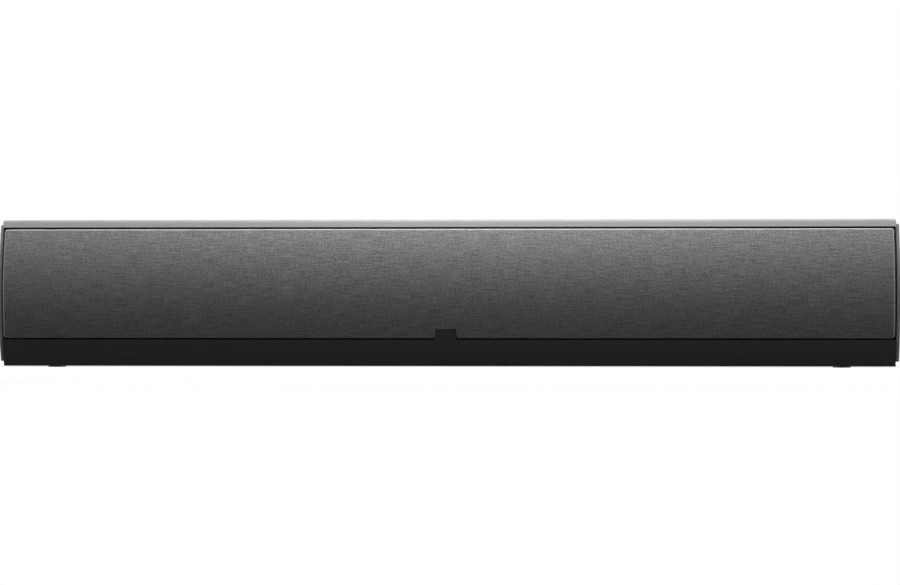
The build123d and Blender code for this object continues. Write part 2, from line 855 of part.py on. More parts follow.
pad_x = body_end - pad_end_inset
pad_ys = (front_y + pad_front_setback, back_y - pad_rear_setback)
pad = Cylinder(pad_radius, pad_proud, align=GROUND)
parts["base_pads"] = Compound([Pos(x, y, 0) * pad for x in (-pad_x, pad_x) for y in pad_ys])


# Crossover on the floor of the body, between the screw ports

resistor_x = (component_gap + resistor_width) / 2
inner_solder_x = resistor_x + (resistor_width + component_gap) / 2
capacitor_x = inner_solder_x + (component_gap + capacitor_length) / 2
outer_solder_x = capacitor_x + (capacitor_length + component_gap) / 2
inductor_x = outer_solder_x + component_gap / 2 + inductor_radius
board_length = 2 * (inductor_x + inductor_radius + board_margin)

on_board = Pos(board_x, board_y, board_top)
board = on_board * Pos(0, 0, -board_thickness) * Box(board_length, board_width, board_thickness, align=GROUND)
standoff = Cylinder(standoff_radius, board_top - floor_z, align=GROUND)
for x in (-1, 1):
    for y in (-1, 1):
        across = board_x + x * (board_length / 2 - standoff_inset)
        along = board_y + y * (board_width / 2 - standoff_inset)
        board += Pos(across, along, floor_z) * standoff
parts["crossover_board"] = board

inductor = Cylinder(inductor_radius, inductor_height, align=GROUND)
inductor -= Cylinder(inductor_bore, inductor_height, align=GROUND)
capacitor = Pos(0, 0, capacitor_radius) * Rot(0, 90, 0) * Cylinder(capacitor_radius, capacitor_length)
resistor = Box(resistor_width, resistor_length, resistor_width, align=GROUND)
inductors = []
capacitors = []
resistors = []
for side in (-1, 1):
    inductors.append(on_board * Pos(side * inductor_x, 0, 0) * inductor)
    resistors.append(on_board * Pos(side * resistor_x, 0, 0) * resistor)
    for row in (-1, 1):
        capacitors.append(on_board * Pos(side * capacitor_x, row * capacitor_pitch / 2, 0) * capacitor)
parts["crossover_inductors"] = Compound(inductors)
parts["crossover_capacitors"] = Compound(capacitors)
parts["crossover_resistors"] = Compound(resistors)


# Inner wiring: each lead leaves its terminal, drops to its run and comes down on the board

def lead(x, y, z, lane, run, solder_x):
    """Insulated wire from a terminal at x, y and z, along a lane, down to the crossover board."""
    lane_y = board_y + lane * lane_pitch
    path = FilletPolyline(
        (x, y, z),
        (x, lane_y, z),
        (x, lane_y, run),
        (board_x + solder_x, lane_y, run),
        (board_x + solder_x, lane_y, board_top + glue_gap),
        radius=lead_bend,
    )
    return sweep(Plane(origin=path @ 0, z_dir=path % 0) * Circle(lead_radius), path=path)


post_end = cup_floor - cup_wall - post_tail - glue_gap
basket_rear = baffle_front - top_plate_front + glue_gap
tweeter_rear = baffle_front - tweeter_yoke_front + tweeter_yoke_thickness + glue_gap
woofer_tag_z = driver_z - (magnet_radius + basket_back_radius) / 2
tweeter_tag_z = driver_z - tweeter_drop
leads = []
for i, side in ((0, -1), (1, 1)):
    tag_x = side * lead_pitch / 2
    post_x = side * post_spacing / 2
    left_lane = left_woofer_lane + 2 * i
    right_lane = right_woofer_lane + 2 * i
    leads.append(lead(post_x, post_end, cup_z, input_lane + i, input_run, -inner_solder_x))
    leads.append(lead(tag_x - woofer_x, basket_rear, woofer_tag_z, left_lane, woofer_run, outer_solder_x))
    leads.append(lead(tag_x + woofer_x, basket_rear, woofer_tag_z, right_lane, woofer_run, outer_solder_x))
    leads.append(lead(tag_x, tweeter_rear, tweeter_tag_z, tweeter_lane + i, tweeter_run, inner_solder_x))
parts["speaker_leads"] = Compound(leads)


# Damping blankets on the inside of the back wall

blanket_back = back_y - wall
blanket_section = block(
    blanket_back - blanket_thickness, blanket_back, floor_z + blanket_margin, ceiling_z - blanket_margin
)
blanket = along_x(blanket_section, blanket_start, baffle_end - blanket_end_gap)
insert_room = ring(0, insert_barrel + blanket_gap, -blanket_thickness - wall, 0)
blanket -= on_back(insert_spacing / 2, back_y, insert_z) * insert_room
parts["damping_blankets"] = Compound([mirrored(blanket), blanket])


os.makedirs("parts", exist_ok=True)
for name, shape in parts.items():
    export_step(shape, "parts/" + name + ".step")
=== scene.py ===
"""Dresses a long center speaker: its finishes, the stretched grille cloth, small hardware and a studio."""

import json
import logging
import math
from collections.abc import Callable
from dataclasses import dataclass, field
from enum import Enum

import bmesh
import bpy
from mathutils import Matrix, Vector, noise


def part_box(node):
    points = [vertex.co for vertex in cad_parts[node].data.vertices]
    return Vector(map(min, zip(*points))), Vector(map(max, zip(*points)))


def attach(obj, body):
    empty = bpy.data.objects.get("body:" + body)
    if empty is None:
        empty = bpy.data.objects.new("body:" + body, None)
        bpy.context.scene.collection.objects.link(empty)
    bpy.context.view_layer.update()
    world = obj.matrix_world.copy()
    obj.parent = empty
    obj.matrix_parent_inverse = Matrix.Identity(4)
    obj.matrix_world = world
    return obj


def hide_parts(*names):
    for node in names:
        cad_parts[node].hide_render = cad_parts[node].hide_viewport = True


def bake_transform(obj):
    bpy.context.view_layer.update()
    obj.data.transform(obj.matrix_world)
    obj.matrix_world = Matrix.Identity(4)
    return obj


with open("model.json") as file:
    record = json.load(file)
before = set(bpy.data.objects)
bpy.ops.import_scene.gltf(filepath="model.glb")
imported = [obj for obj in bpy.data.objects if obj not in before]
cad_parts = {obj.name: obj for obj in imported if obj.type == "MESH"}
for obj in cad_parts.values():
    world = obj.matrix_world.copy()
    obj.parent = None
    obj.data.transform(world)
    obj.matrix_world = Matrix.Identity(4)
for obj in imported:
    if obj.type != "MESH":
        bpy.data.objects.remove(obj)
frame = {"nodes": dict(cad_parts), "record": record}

Colour = tuple[float, float, float]
Point = tuple[float, float, float]
Span = tuple[float, float]
Socket = bpy.types.NodeSocket
Masks = tuple[Socket, Socket]
Feed = Socket | float | tuple[float, ...]
Shape = list[bmesh.types.BMVert] | list[bmesh.types.BMEdge]

PAINTED_HIGHLIGHT_MARK = "rim"
PHOTO_WIDTH = 900
log = logging.getLogger("speaker")


class Pattern(Enum):
    """The surface patterns, each one shared node group."""

    GRAIN = "surface_grain"
    DRAWN = "drawn_lines"
    WEAVE = "woven_threads"
    FIBRE = "pressed_fibres"
    BLOTCH = "plating_blotches"
    WINDING = "wound_turns"


class Side(Enum):
    """The two ends of the speaker, each with a woofer and a radiator."""

    LEFT = "left"
    RIGHT = "right"


class Rounding(Enum):
    """What a bevel rounds off."""

    CORNERS = "VERTICES"
    EDGES = "EDGES"


class Slot(Enum):
    """The material slots of the record."""

    BODY_METAL = "body_metal"
    CAP_METAL = "cap_metal"
    GRILLE_CLOTH = "grille_cloth"
    BLACK_MOULDING = "black_moulding"
    BAFFLE_BOARD = "baffle_board"
    BLACK_RUBBER = "black_rubber"
    SURROUND_RUBBER = "surround_rubber"
    CAST_FRAME = "cast_frame"
    CONE_PAPER = "cone_paper"
    RADIATOR_PLASTIC = "radiator_plastic"
    DOME_CLOTH = "dome_cloth"
    SPIDER_CLOTH = "spider_cloth"
    COIL_COPPER = "coil_copper"
    FERRITE = "ferrite"
    PLATED_STEEL = "plated_steel"
    BLACK_SCREW = "black_screw"
    BOARD_LAMINATE = "board_laminate"
    CAPACITOR_FILM = "capacitor_film"
    RESISTOR_CEMENT = "resistor_cement"
    POST_PLATING = "post_plating"
    RED_KNOB_PLASTIC = "red_knob_plastic"
    BLACK_KNOB_PLASTIC = "black_knob_plastic"
    LEAD_INSULATION = "lead_insulation"
    DAMPING_WOOL = "damping_wool"


class Tree:
    """A shader node tree with short ways to add nodes and join them.

    A Mix node names its sockets alike for every kind of value, so those for colours go by number.
    """

    first_colour: int = 6
    second_colour: int = 7
    mixed_colour: int = 2

    def __init__(self, tree: bpy.types.NodeTree) -> None:
        """Keeps the tree that the nodes go into."""
        self.tree = tree

    def add(
        self, kind: str, inputs: dict[str | int, Feed] | None = None, **settings: object
    ) -> bpy.types.Node:
        """Adds a node, sets its properties and feeds its inputs.

        Args:
            kind: The node's type, without its common prefix.
            inputs: Plain values, or outputs of other nodes, by input name or number.
            settings: Properties of the node.
        Returns:
            The new node.
        """
        node = self.tree.nodes.new("ShaderNode" + kind)
        for name, value in settings.items():
            setattr(node, name, value)
        for key, value in (inputs or {}).items():
            self.feed(node.inputs[key], value)
        return node

    def feed(self, socket: Socket, value: Feed) -> None:
        """Joins an input to an output, or sets it to a plain value.

        Args:
            socket: The input.
            value: An output socket, a number, a colour or a vector.
        """
        if isinstance(value, bpy.types.NodeSocket):
            self.tree.links.new(value, socket)
        else:
            socket.default_value = value

    def math(self, operation: str, *values: Feed) -> Socket:
        """Adds a math node.

        Args:
            operation: The operation's name.
            values: Its numbers or outputs, in order.
        Returns:
            The result.
        """
        return self.add("Math", dict(enumerate(values)), operation=operation).outputs[0]

    def weigh(self, *terms: tuple[Socket, float]) -> Socket:
        """Adds outputs together, each times its weight.

        Args:
            terms: Each output with its weight.
        Returns:
            The sum.
        """
        total, *others = [self.math("MULTIPLY", value, weight) for value, weight in terms]
        for other in others:
            total = self.math("ADD", total, other)
        return total

    def stretch(self, vector: Socket, factors: Point) -> Socket:
        """Scales coordinates by a factor on each axis.

        Args:
            vector: The coordinates.
            factors: The three factors.
        Returns:
            The scaled coordinates.
        """
        return self.add("VectorMath", {0: vector, 1: factors}, operation="MULTIPLY").outputs[0]

    def noise(self, vector: Socket, scale: float = 1.0, detail: float = 3.0) -> Socket:
        """Adds a noise texture.

        Args:
            vector: The coordinates.
            scale: Features per unit of the coordinates.
            detail: Octaves.
        Returns:
            The noise value.
        """
        node = self.add("TexNoise", {"Vector": vector, "Scale": scale, "Detail": detail})
        return node.outputs["Fac"]

    def spread(self, value: Socket, source: Span, target: Span = (0.0, 1.0)) -> Socket:
        """Maps a value from one span to another and holds it there.

        Args:
            value: The value.
            source: The span that it comes from.
            target: The span that it goes to.
        Returns:
            The mapped value.
        """
        node = self.add("MapRange", {"Value": value, "From Min": source[0], "From Max": source[1]})
        self.feed(node.inputs["To Min"], target[0])
        self.feed(node.inputs["To Max"], target[1])
        return node.outputs[0]

    def mix(self, factor: Socket, first: Feed, second: Feed) -> Socket:
        """Mixes two colours.

        Args:
            factor: The share of the second colour.
            first: The first colour.
            second: The second colour.
        Returns:
            The mixed colour.
        """
        inputs = {"Factor": factor, self.first_colour: first, self.second_colour: second}
        return self.add("Mix", inputs, data_type="RGBA").outputs[self.mixed_colour]


@dataclass
class PatternLibrary:
    """The node groups of the patterns. Each takes a scale and gives a mask and a height."""

    line_stretch: Point = (0.012, 1.0, 1.0)
    band_stretch: Point = (0.004, 0.12, 0.12)
    slub_stretch: Point = (0.035, 0.75, 1.0)
    warp_stretch: Point = (0.7, 0.05, 1.0)
    lying_fibre_stretch: Point = (0.15, 1.0, 0.7)
    standing_fibre_stretch: Point = (0.8, 0.6, 0.15)
    made: dict[Pattern, bpy.types.NodeTree] = field(default_factory=dict)

    def __post_init__(self) -> None:
        """Lists the method that makes each pattern."""
        self.makers: dict[Pattern, Callable[[Tree, Socket, Socket], Masks]] = {
            Pattern.GRAIN: self.grain,
            Pattern.DRAWN: self.drawn,
            Pattern.WEAVE: self.weave,
            Pattern.FIBRE: self.fibre,
            Pattern.BLOTCH: self.blotch,
            Pattern.WINDING: self.winding,
        }

    def group(self, pattern: Pattern) -> bpy.types.NodeTree:
        """Gives a pattern's group, made at its first use.

        Args:
            pattern: The pattern.
        Returns:
            The node group.
        """
        if pattern not in self.made:
            group = bpy.data.node_groups.new(pattern.value, "ShaderNodeTree")
            group.interface.new_socket("Scale", in_out="INPUT", socket_type="NodeSocketFloat")
            group.interface.new_socket("Mask", in_out="OUTPUT", socket_type="NodeSocketFloat")
            group.interface.new_socket("Height", in_out="OUTPUT", socket_type="NodeSocketFloat")
            tree = Tree(group)
            scale = group.nodes.new("NodeGroupInput").outputs["Scale"]
            leave = group.nodes.new("NodeGroupOutput")
            place = tree.add("TexCoord").outputs["UV" if pattern is Pattern.WEAVE else "Object"]
            sized = tree.add("VectorMath", {"Vector": place, "Scale": scale}, operation="SCALE").outputs[0]
            mask, height = self.makers[pattern](tree, place, sized)
            tree.feed(leave.inputs["Mask"], mask)
            tree.feed(leave.inputs["Height"], height)
            self.made[pattern] = group
        return self.made[pattern]

    @staticmethod
    def grain(tree: Tree, place: Socket, sized: Socket) -> Masks:
        """Fine stipple with slow, faint drifts of tone.

        Args:
            tree: The group's tree.
            place: Coordinates in metres.
            sized: Coordinates times the scale.
        Returns:
            Mask and height.
        """
        fine = tree.noise(sized, detail=4.0)
        cells = tree.add("TexVoronoi", {"Vector": sized, "Scale": 1.6}, feature="SMOOTH_F1")
        drift = tree.noise(place, scale=9.0, detail=2.0)
        mask = tree.weigh((fine, 0.6), (drift, 0.4))
        return mask, tree.weigh((fine, 1.0), (cells.outputs["Distance"], 0.7))

    def drawn(self, tree: Tree, place: Socket, sized: Socket) -> Masks:
        """Fine lines along the length, as a die and a brush leave them.

        Args:
            tree: The group's tree.
            place: Coordinates in metres.
            sized: Coordinates times the scale.
        Returns:
            Mask and height.
        """
        lines = tree.noise(tree.stretch(sized, self.line_stretch), detail=4.0)
        bands = tree.noise(tree.stretch(sized, self.band_stretch), detail=2.0)
        specks = tree.noise(sized, scale=2.0, detail=2.0)
        mask = tree.weigh((lines, 0.65), (bands, 0.35))
        return mask, tree.weigh((lines, 1.0), (specks, 0.5))

    def weave(self, tree: Tree, place: Socket, sized: Socket) -> Masks:
        """Plain weave of uneven yarns that run mostly along the length.

        Args:
            tree: The group's tree.
            place: Cloth coordinates in metres.
            sized: Cloth coordinates in yarns.
        Returns:
            Mask and height.
        """
        parts = tree.add("SeparateXYZ", {0: sized})
        across = tree.math("SINE", tree.math("MULTIPLY", parts.outputs["X"], math.pi))
        along = tree.math("SINE", tree.math("MULTIPLY", parts.outputs["Y"], math.pi))
        over = tree.math("ABSOLUTE", tree.math("MULTIPLY", across, along))
        slubs = tree.noise(tree.stretch(sized, self.slub_stretch))
        warps = tree.noise(tree.stretch(sized, self.warp_stretch))
        fuzz = tree.noise(sized, scale=0.5, detail=2.0)
        mask = tree.weigh((slubs, 0.34), (warps, 0.20), (fuzz, 0.46))
        return mask, tree.weigh((over, 0.5), (mask, 1.0))

    def fibre(self, tree: Tree, place: Socket, sized: Socket) -> Masks:
        """Short matted fibres, as in pulp and wool.

        Args:
            tree: The group's tree.
            place: Coordinates in metres.
            sized: Coordinates times the scale.
        Returns:
            Mask and height.
        """
        lying = tree.noise(tree.stretch(sized, self.lying_fibre_stretch), detail=4.0)
        standing = tree.noise(tree.stretch(sized, self.standing_fibre_stretch), detail=4.0)
        crossed = tree.math("MAXIMUM", lying, standing)
        tufts = tree.noise(place, scale=60.0, detail=2.0)
        return crossed, tree.math("ADD", crossed, tufts)

    @staticmethod
    def blotch(tree: Tree, place: Socket, sized: Socket) -> Masks:
        """Cloudy plating with a crystalline spangle.

        Args:
            tree: The group's tree.
            place: Coordinates in metres.
            sized: Coordinates times the scale.
        Returns:
            Mask and height.
        """
        cells = tree.add("TexVoronoi", {"Vector": sized, "Scale": 1.0})
        level = tree.add("RGBToBW", {0: cells.outputs["Color"]}).outputs[0]
        cloud = tree.noise(sized, scale=0.5)
        pits = tree.noise(sized, scale=3.0, detail=2.0)
        return tree.weigh((level, 0.35), (cloud, 0.65)), pits

    @staticmethod
    def winding(tree: Tree, place: Socket, sized: Socket) -> Masks:
        """Turns of wire side by side along the coil's axis.

        Args:
            tree: The group's tree.
            place: Coordinates in metres.
            sized: Coordinates in turns.
        Returns:
            Mask and height.
        """
        turns = tree.add("SeparateXYZ", {0: sized}).outputs["Y"]
        wave = tree.math("ABSOLUTE", tree.math("SINE", tree.math("MULTIPLY", turns, math.pi)))
        tarnish = tree.math("ADD", tree.noise(place, scale=300.0, detail=2.0), 0.5)
        return tree.math("MULTIPLY", wave, tarnish), wave


def grey(level: float, warmth: float = 0.0) -> Colour:
    """Gives a grey.

    Args:
        level: Its linear brightness.
        warmth: How far red rises above it and blue falls below it, as a share.
    Returns:
        The colour.
    """
    return (level * (1.0 + warmth), level, level * (1.0 - warmth))


def opaque(colour: Colour) -> tuple[float, float, float, float]:
    """Gives a colour full cover, as the sockets want it."""
    return (*colour, 1.0)


@dataclass(frozen=True)
class Finish:
    """A surface finish: two close tones with a pattern between them, the relief that it leaves, and a paler
    painted highlight on a marked rim if one is given.
    """

    dark: Colour
    pale: Colour
    rough: Span
    pattern: Pattern = Pattern.GRAIN
    scale: float = 900.0
    relief: float = 0.00004
    metallic: float = 0.0
    specular: float = 0.4
    sheen: float = 0.0
    sheen_rough: float = 0.5
    coat: float = 0.0
    mask_span: Span = (0.32, 0.68)
    # rim: a paler tone painted on a marked rim, a painted highlight that stands in for light falling on that
    # edge
    rim: Colour | None = None

    def material(self, name: str, patterns: PatternLibrary) -> bpy.types.Material:
        """Builds the finish as a material.

        Args:
            name: The material's name.
            patterns: The shared pattern groups.
        Returns:
            The material.
        """
        material = bpy.data.materials.new(name)
        material.use_nodes = True
        tree = Tree(material.node_tree)
        shader = material.node_tree.nodes["Principled BSDF"]
        group = tree.add("Group", node_tree=patterns.group(self.pattern))
        tree.feed(group.inputs["Scale"], self.scale)
        mask = group.outputs["Mask"]
        tone = tree.mix(tree.spread(mask, self.mask_span), opaque(self.dark), opaque(self.pale))
        # The rim tone is a painted highlight: the marked rolled edge is painted paler than the cloth.
        if self.rim:
            edge = tree.add("Attribute", attribute_name=PAINTED_HIGHLIGHT_MARK).outputs["Fac"]
            tone = tree.mix(edge, tone, opaque(self.rim))
        bump = tree.add("Bump", {"Height": group.outputs["Height"], "Distance": self.relief, "Strength": 1.0})
        values: dict[str, Feed] = {
            "Base Color": tone,
            "Roughness": tree.spread(mask, self.mask_span, self.rough),
            "Normal": bump.outputs[0],
            "Metallic": self.metallic,
            "Specular IOR Level": self.specular,
            "Sheen Weight": self.sheen,
            "Sheen Roughness": self.sheen_rough,
            "Coat Weight": self.coat,
        }
        for socket, value in values.items():
            tree.feed(shader.inputs[socket], value)
        return material


FINISHES: dict[Slot, Finish] = {
    Slot.BODY_METAL: Finish(
        grey(0.21), grey(0.272), rough=(0.78, 0.87), pattern=Pattern.DRAWN, scale=2600.0, relief=0.000012,
        metallic=1.0),
    Slot.CAP_METAL: Finish(
        grey(0.27), grey(0.35), rough=(0.42, 0.55), scale=2200.0, relief=0.000012, specular=0.3),
    # The cloth's rim colour is a painted highlight on its rolled edge all round.
    Slot.GRILLE_CLOTH: Finish(
        grey(0.131), grey(0.306), rough=(0.86, 0.96), pattern=Pattern.WEAVE, scale=1500.0, relief=0.00012,
        specular=0.04, sheen=0.55, sheen_rough=0.3, mask_span=(0.41, 0.59), rim=grey(0.50)),
    Slot.BLACK_MOULDING: Finish(
        grey(0.004), grey(0.009), rough=(0.42, 0.55), scale=1400.0, specular=0.16),
    Slot.BAFFLE_BOARD: Finish(
        grey(0.012), grey(0.022), rough=(0.6, 0.75), pattern=Pattern.FIBRE, scale=700.0, relief=0.00008,
        specular=0.3),
    Slot.BLACK_RUBBER: Finish(
        grey(0.010), grey(0.020), rough=(0.6, 0.8), scale=1100.0, relief=0.00006, specular=0.3),
    Slot.SURROUND_RUBBER: Finish(
        grey(0.010), grey(0.018), rough=(0.45, 0.6), scale=1500.0, specular=0.35),
    Slot.CAST_FRAME: Finish(
        grey(0.016), grey(0.032), rough=(0.45, 0.62), scale=1200.0, relief=0.00008),
    Slot.CONE_PAPER: Finish(
        grey(0.018), grey(0.045), rough=(0.7, 0.9), pattern=Pattern.FIBRE, relief=0.0001, specular=0.25),
    Slot.RADIATOR_PLASTIC: Finish(
        grey(0.012), grey(0.022), rough=(0.35, 0.5), scale=1300.0),
    Slot.DOME_CLOTH: Finish(
        grey(0.02), grey(0.05), rough=(0.5, 0.7), pattern=Pattern.FIBRE, scale=2500.0, relief=0.00003,
        sheen=0.1),
    Slot.SPIDER_CLOTH: Finish(
        (0.36, 0.25, 0.11), (0.50, 0.36, 0.18), rough=(0.7, 0.9), pattern=Pattern.FIBRE, scale=1800.0,
        relief=0.00006, specular=0.25),
    Slot.COIL_COPPER: Finish(
        (0.50, 0.19, 0.09), (0.86, 0.42, 0.25), rough=(0.2, 0.36), pattern=Pattern.WINDING, scale=2500.0,
        relief=0.00012, metallic=1.0, mask_span=(0.1, 0.9)),
    Slot.FERRITE: Finish(
        grey(0.03), grey(0.07), rough=(0.55, 0.75), pattern=Pattern.BLOTCH, scale=1200.0),
    Slot.PLATED_STEEL: Finish(
        (0.46, 0.47, 0.48), (0.66, 0.66, 0.64), rough=(0.25, 0.42), pattern=Pattern.BLOTCH, scale=500.0,
        relief=0.00001, metallic=1.0),
    Slot.BLACK_SCREW: Finish(
        grey(0.03), grey(0.06), rough=(0.35, 0.5), scale=2500.0, relief=0.00001, metallic=1.0),
    Slot.BOARD_LAMINATE: Finish(
        (0.012, 0.07, 0.03), (0.03, 0.14, 0.055), rough=(0.3, 0.45), pattern=Pattern.FIBRE, scale=500.0,
        relief=0.00002, coat=0.3),
    Slot.CAPACITOR_FILM: Finish(
        (0.42, 0.30, 0.06), (0.58, 0.43, 0.10), rough=(0.25, 0.4), pattern=Pattern.BLOTCH, scale=260.0,
        relief=0.00003, coat=0.2),
    Slot.RESISTOR_CEMENT: Finish(
        grey(0.55, 0.03), grey(0.72, 0.03), rough=(0.75, 0.9), scale=1500.0, relief=0.0001),
    Slot.POST_PLATING: Finish(
        (0.72, 0.48, 0.17), (0.92, 0.68, 0.30), rough=(0.16, 0.3), pattern=Pattern.BLOTCH, scale=900.0,
        relief=0.000006, metallic=1.0),
    Slot.RED_KNOB_PLASTIC: Finish(
        (0.36, 0.012, 0.012), (0.48, 0.025, 0.02), rough=(0.25, 0.38), scale=1600.0, relief=0.00002),
    Slot.BLACK_KNOB_PLASTIC: Finish(
        grey(0.008), grey(0.016), rough=(0.25, 0.38), scale=1600.0, relief=0.00002),
    Slot.LEAD_INSULATION: Finish(
        grey(0.015), grey(0.03), rough=(0.35, 0.5), scale=900.0, relief=0.00002),
    Slot.DAMPING_WOOL: Finish(
        grey(0.34, 0.02), grey(0.56, 0.02), rough=(0.9, 1.0), pattern=Pattern.FIBRE, scale=320.0,
        relief=0.0008, specular=0.1, sheen=0.3),
}


class Wardrobe:
    """Gives each piece the material of its slot."""

    def __init__(self) -> None:
        """Reads the slots of the nodes from the record."""
        self.patterns = PatternLibrary()
        self.materials: dict[Slot, bpy.types.Material] = {}
        self.slots = {row["node"]: Slot(row["material_slot"]) for row in frame["record"]["subparts"]}

    def material(self, slot: Slot) -> bpy.types.Material:
        """Gives a slot's material, made at its first use.

        Args:
            slot: The slot.
        Returns:
            The material.
        """
        if slot not in self.materials:
            self.materials[slot] = FINISHES[slot].material(slot.value, self.patterns)
        return self.materials[slot]

    def dress_node(self, name: str) -> None:
        """Gives a solid of the frame its finish.

        Args:
            name: The node's name.
        """
        node = frame["nodes"][name]
        material = self.material(self.slots[name])
        if not node.material_slots:
            node.data.materials.append(material)
        for holder in node.material_slots:
            holder.material = material
        log.info("dressed %s in %s", name, self.slots[name].value)

    def dress_piece(self, piece: bpy.types.Object, slot: Slot) -> None:
        """Gives a new piece its finish and names its slot.

        Args:
            piece: The piece.
            slot: The slot.
        """
        piece.data.materials.append(self.material(slot))
        log.info("built %s in %s", piece.name, slot.value)


def make_object(name: str, mesh: bmesh.types.BMesh, smooth: bool = True) -> bpy.types.Object:
    """Turns a bmesh into an object at the origin.

    Args:
        name: The piece's name.
        mesh: Its mesh, which is freed.
        smooth: Whether its faces are shaded smooth.
    Returns:
        The object.
    """
    data = bpy.data.meshes.new(name)
    for face in mesh.faces:
        face.smooth = smooth
    mesh.to_mesh(data)
    mesh.free()
    piece = bpy.data.objects.new(name, data)
    bpy.context.scene.collection.objects.link(piece)
    return piece


def round_off(mesh: bmesh.types.BMesh, kind: Rounding, geometry: Shape, radius: float, steps: int) -> None:
    """Rounds corners or edges off with a bevel.

    Args:
        mesh: The mesh.
        kind: Whether corners or edges are rounded.
        geometry: The corners' points, or the edges.
        radius: How far the rounding reaches.
        steps: Its segments.
    """
    bmesh.ops.bevel(mesh, geom=geometry, offset=radius, offset_type="OFFSET", segments=steps, profile=0.5,
                    affect=kind.value, material=-1)


@dataclass
class SubAssembly:
    """A group of pieces that belong together on the bench."""

    wardrobe: Wardrobe
    nodes: tuple[str, ...] = ()

    def build(self) -> None:
        """Makes the pieces that the solids don't have."""

    def dress(self) -> None:
        """Gives every solid of the group its finish."""
        for name in self.nodes:
            self.wardrobe.dress_node(name)


@dataclass
class Body(SubAssembly):
    """The drawn metal body with its ends, feet and wall inserts."""

    nodes: tuple[str, ...] = (
        "cabinet_extrusion", "left_end_plate", "right_end_plate", "left_end_cap", "right_end_cap",
        "end_cap_screws", "base_pads", "wall_mount_inserts",
    )


@dataclass
class Grille(SubAssembly):
    """The bowed cloth front on its frame, with the strip below it. The bow is that of the solid cloth."""

    nodes: tuple[str, ...] = ("grille_frame", "grille_sockets", "lower_fascia", "front_baffle")
    bow_radius: float = 0.185
    bow_centre_y: float = 0.120
    bow_middle_z: float = 0.0755
    depth: float = 0.0042
    thickness: float = 0.0008
    corner: float = 0.0022
    end_bar: float = 0.0020
    roll: float = 0.0014
    notch_width: float = 0.0214
    notch_height: float = 0.009
    notch_corner: float = 0.0015
    notch_flare: float = 0.0026
    rows: int = 44
    column_pitch: float = 0.03
    corner_steps: int = 6
    roll_steps: int = 5
    painted_highlight_share: float = 0.3

    def bow(self, z: float) -> float:
        """Gives the depth of the bowed front at a height."""
        return self.bow_centre_y - math.sqrt(self.bow_radius ** 2 - (z - self.bow_middle_z) ** 2)

    def arc(self, z: float) -> float:
        """Gives the length along the bow from its middle to a height."""
        return self.bow_radius * math.asin((z - self.bow_middle_z) / self.bow_radius)

    def outline(self, mesh: bmesh.types.BMesh) -> None:
        """Lays out the flat front face with its notch and rounds its corners.

        Args:
            mesh: The mesh to draw in.
        """
        low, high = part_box("grille_cloth")
        left, right, bottom, top = low[0] + self.end_bar, high[0] - self.end_bar, low[2], high[2]
        half = self.notch_width / 2
        notch_top = bottom + self.notch_height
        corners = [
            (left, bottom, self.corner), (-half, bottom, self.notch_flare),
            (-half, notch_top, self.notch_corner), (half, notch_top, self.notch_corner),
            (half, bottom, self.notch_flare), (right, bottom, self.corner),
            (right, top, self.corner), (left, top, self.corner),
        ]
        points = [mesh.verts.new((x, 0.0, z)) for x, z, _ in corners]
        mesh.faces.new(points)
        for point, (_, _, radius) in zip(points, corners):
            round_off(mesh, Rounding.CORNERS, [point], radius, self.corner_steps)

    def fold_back(self, mesh: bmesh.types.BMesh) -> None:
        """Turns the cloth back over the frame's edge, with a rolled rim.

        Args:
            mesh: The flat front face.
        """
        rim = [edge for edge in mesh.edges if edge.is_boundary]
        sides = bmesh.ops.extrude_edge_only(mesh, edges=rim)["geom"]
        moved = [item for item in sides if isinstance(item, bmesh.types.BMVert)]
        bmesh.ops.translate(mesh, verts=moved, vec=(0.0, self.depth, 0.0))
        bmesh.ops.recalc_face_normals(mesh, faces=mesh.faces[:])
        round_off(mesh, Rounding.EDGES, rim, self.roll, self.roll_steps)

    def cut_rows(self, mesh: bmesh.types.BMesh) -> None:
        """Cuts the cloth into rows and columns that can follow the bow.

        Args:
            mesh: The folded cloth.
        """
        low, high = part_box("grille_cloth")
        columns = round((high[0] - low[0]) / self.column_pitch)
        for axis, count in ((2, self.rows), (0, columns)):
            normal = Vector((0.0, 0.0, 0.0))
            normal[axis] = 1.0
            step = (high[axis] - low[axis]) / count
            for index in range(1, count):
                place = normal * (low[axis] + index * step)
                geometry = mesh.verts[:] + mesh.edges[:] + mesh.faces[:]
                bmesh.ops.bisect_plane(mesh, geom=geometry, plane_co=place, plane_no=normal)

    def lay_threads(self, mesh: bmesh.types.BMesh) -> None:
        """Writes the coordinates along and across the weave, in metres, marks the rolled rim where a paler
        tone is painted as a highlight, and bows the cloth.

        Args:
            mesh: The cloth, cut into rows.
        """
        mesh.normal_update()
        rim = mesh.verts.layers.float.new(PAINTED_HIGHLIGHT_MARK)
        layer = mesh.loops.layers.uv.new("threads")
        for face in mesh.faces:
            for loop in face.loops:
                place, normal = loop.vert.co, loop.vert.normal
                along = place.x + place.y * normal.x
                across = self.arc(place.z) + place.y * normal.z
                loop[layer].uv = (along, across)
        # The mark paints a paler highlight on the rolled edge, rising from the front face to full strength a
        # short way back.
        for vert in mesh.verts:
            vert[rim] = min(1.0, vert.co.y / (self.painted_highlight_share * self.roll))
            vert.co.y += self.bow(vert.co.z)

    def build(self) -> None:
        """Makes the stretched cloth in place of its plain solid."""
        mesh = bmesh.new()
        self.outline(mesh)
        self.fold_back(mesh)
        self.cut_rows(mesh)
        self.lay_threads(mesh)
        bmesh.ops.recalc_face_normals(mesh, faces=mesh.faces[:])
        cloth = make_object("stretched_cloth", mesh)
        wall = cloth.modifiers.new("thickness", "SOLIDIFY")
        wall.thickness = self.thickness
        wall.offset = -1.0
        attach(cloth, "cabinet")
        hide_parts("grille_cloth")
        self.wardrobe.dress_piece(cloth, Slot.GRILLE_CLOTH)


